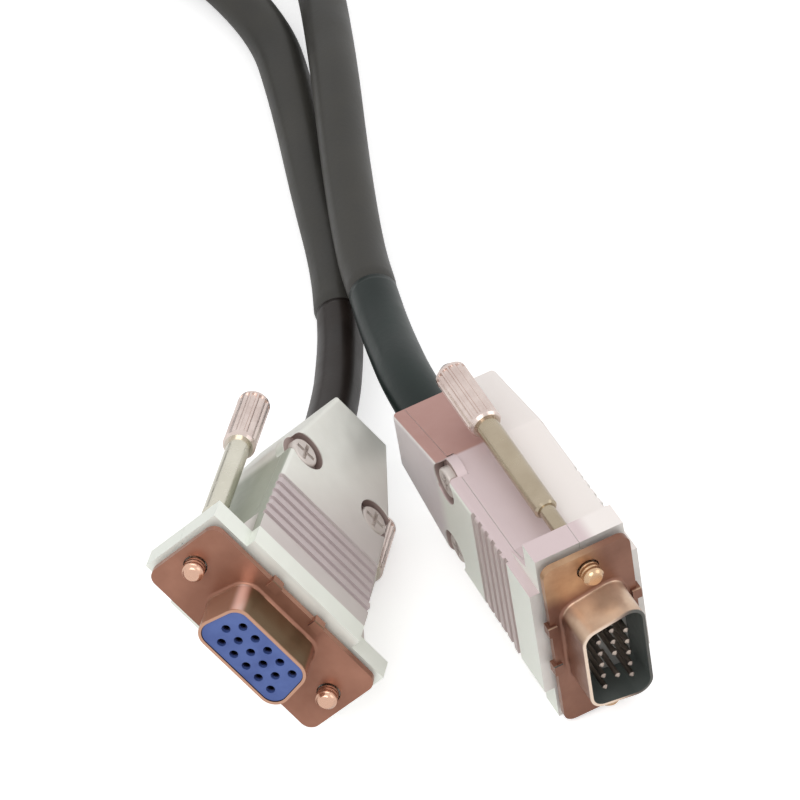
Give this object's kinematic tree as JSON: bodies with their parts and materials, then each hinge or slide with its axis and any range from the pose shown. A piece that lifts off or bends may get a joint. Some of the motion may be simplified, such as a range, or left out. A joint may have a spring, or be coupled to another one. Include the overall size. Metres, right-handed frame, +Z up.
{
  "type": "video extension cable",
  "caption": "Video extension lead: a pin plug and a socket in two-half metal hoods with captive thumbscrews, on one grey round cable with black sleeves, its spare length coiled.",
  "frame": {"origin": "middle of the plug's flange face, on the plug's mating axis", "axes": "+Z up; the plug mates towards -Y; both connectors lie on one level surface under the lead"},
  "size_m": [0.1016, 0.2898, 0.0342],
  "materials": {
    "plated_shell": "warm plated steel sheet, satin",
    "plated_hood": "bright nickel plate on a die casting, satin",
    "plated_screw": "nickel plated steel",
    "black_plastic": "moulded black plastic",
    "blue_plastic": "moulded blue plastic",
    "contact_gold": "gold flashed contacts",
    "crimp_brass": "plain brass",
    "conductor_sleeve": "thin plastic on each conductor",
    "black_sleeve": "soft black sleeve, slightly glossy",
    "grey_jacket": "soft grey jacket"
  },
  "bodies": {
    "lead": {"plug_front_shell": "plated_shell", "plug_rear_shell": "plated_shell", "plug_rear_insulator": "black_plastic", "plug_hood_cover": "plated_hood", "plug_hood_tray": "plated_hood", "plug_hood_screws": "plated_screw", "plug_hood_nuts": "plated_screw", "plug_ferrule": "crimp_brass", "plug_wires": "conductor_sleeve", "plug_boot": "black_sleeve", "socket_front_shell": "plated_shell", "socket_rear_shell": "plated_shell", "socket_rear_insulator": "black_plastic", "socket_hood_cover": "plated_hood", "socket_hood_tray": "plated_hood", "socket_hood_screws": "plated_screw", "socket_hood_nuts": "plated_screw", "socket_ferrule": "crimp_brass", "socket_wires": "conductor_sleeve", "socket_boot": "black_sleeve", "plug_front_insulator": "black_plastic", "socket_front_insulator": "blue_plastic", "plug_pins": "contact_gold", "socket_contacts": "contact_gold", "cable_plug_side": "grey_jacket", "cable_socket_side": "grey_jacket", "cable_coil": "grey_jacket"},
    "plug_thumbscrew_a_body": {"plug_thumbscrew_a": "plated_screw"},
    "plug_thumbscrew_b_body": {"plug_thumbscrew_b": "plated_screw"},
    "socket_thumbscrew_a_body": {"socket_thumbscrew_a": "plated_screw"},
    "socket_thumbscrew_b_body": {"socket_thumbscrew_b": "plated_screw"}
  },
  "joints": [
    {"name": "plug_thumbscrew_a_turn", "type": "hinge", "parent": "lead", "child": "plug_thumbscrew_a_body", "pos_m": [-0.0017, 0.02, 0.01238], "axis": [0, -1, 0], "continuous": true},
    {"name": "plug_thumbscrew_b_turn", "type": "hinge", "parent": "lead", "child": "plug_thumbscrew_b_body", "pos_m": [0.0017, 0.02, -0.01238], "axis": [0, -1, 0], "continuous": true},
    {"name": "socket_thumbscrew_a_turn", "type": "hinge", "parent": "lead", "child": "socket_thumbscrew_a_body", "pos_m": [-0.02266, 0.02592, -0.01014], "axis": [-0.5683, -0.7938, 0.2164], "continuous": true},
    {"name": "socket_thumbscrew_b_turn", "type": "hinge", "parent": "lead", "child": "socket_thumbscrew_b_body", "pos_m": [-0.03507, 0.03943, 0.00684], "axis": [-0.5683, -0.7938, 0.2164], "continuous": true}
  ]
}
